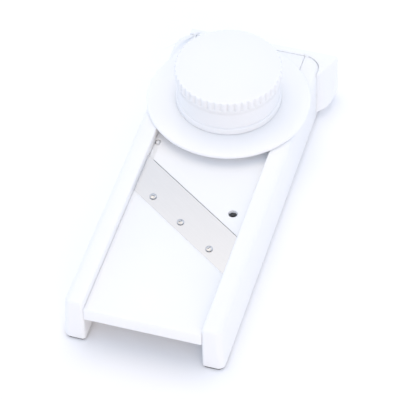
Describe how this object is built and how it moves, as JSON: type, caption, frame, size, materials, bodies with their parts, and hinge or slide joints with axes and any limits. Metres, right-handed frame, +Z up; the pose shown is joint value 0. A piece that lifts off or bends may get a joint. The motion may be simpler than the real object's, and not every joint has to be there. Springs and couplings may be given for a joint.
{
  "type": "mandoline slicer",
  "caption": "White plastic mandoline slicer with a slanted steel blade, a tilting feed table and a round sliding guard with a push-down knurled knob.",
  "frame": {"origin": "on the ground under the middle of the whole object's box, which is 4 mm right of the middle between the rails", "axes": "+Y along the rails from the front to the far end, where the guard is parked; +X across to the side with the corner grip; +Z up"},
  "size_m": [0.1491, 0.3286, 0.0878],
  "materials": {
    "white_plastic": "white moulded plastic, satin",
    "grey_plastic": "grey moulded plastic",
    "blade_steel": "ground stainless steel",
    "screw_steel": "turned stainless steel",
    "spring_steel": "drawn spring wire",
    "brass": "machined brass",
    "black_rubber": "matt black rubber"
  },
  "bodies": {
    "frame": {"left_rail": "white_plastic", "right_rail": "white_plastic", "rear_crossbar": "white_plastic", "hinge_cover": "white_plastic", "rear_cover": "white_plastic", "runoff_table": "white_plastic", "slicing_blade": "blade_steel", "blade_screw_left": "screw_steel", "blade_screw_middle": "screw_steel", "blade_screw_right": "screw_steel", "front_foot_left": "black_rubber", "front_foot_right": "black_rubber", "rear_foot_left": "black_rubber", "rear_foot_right": "black_rubber", "adjuster_bridge": "white_plastic", "bridge_screw_left": "screw_steel", "bridge_screw_right": "screw_steel", "cover_screw_left": "screw_steel", "cover_screw_right": "screw_steel", "table_pin_left": "screw_steel", "table_pin_right": "screw_steel", "guide_peg": "white_plastic"},
    "feed_table": {"feed_table": "white_plastic", "table_nut": "brass"},
    "adjuster": {"thumb_wheel": "grey_plastic", "adjusting_stud": "screw_steel", "stud_ring": "screw_steel"},
    "guard": {"guard_plate": "white_plastic", "guard_tube": "white_plastic", "spring_seat": "white_plastic"},
    "plunger": {"plunger_stem": "white_plastic", "pusher_plate": "white_plastic", "pusher_screw": "screw_steel", "return_spring": "spring_steel", "prong_1": "screw_steel", "prong_2": "screw_steel", "prong_3": "screw_steel", "prong_4": "screw_steel", "prong_5": "screw_steel", "prong_6": "screw_steel"},
    "knob": {"knob_cap": "white_plastic"}
  },
  "joints": [
    {"name": "thumb_wheel_turn", "type": "hinge", "parent": "frame", "child": "adjuster", "pos_m": [-0.004, 0.05075, 0.01], "axis": [0, 0, 1], "range_deg": [0, 1120]},
    {"name": "feed_table_tilt", "type": "hinge", "parent": "frame", "child": "feed_table", "pos_m": [-0.004, 0.14515, 0.0322], "axis": [1, 0, 0], "range_deg": [0, 1.9]},
    {"name": "guard_slide", "type": "slide", "parent": "frame", "child": "guard", "axis": [0, -1, 0], "range_m": [-0.003, 0.17]},
    {"name": "plunger_press", "type": "slide", "parent": "guard", "child": "plunger", "axis": [0, 0, -1], "range_m": [0, 0.0095], "stiffness_N_per_m": 300, "springref_m": -0.01, "deforming": ["return_spring"]},
    {"name": "knob_turn", "type": "hinge", "parent": "plunger", "child": "knob", "pos_m": [-0.004, 0.08685, 0.085], "axis": [0, 0, 1], "continuous": true}
  ],
  "couplings": [
    {"joint": "feed_table_tilt", "follows": "thumb_wheel_turn", "ratio": 0.001686}
  ]
}
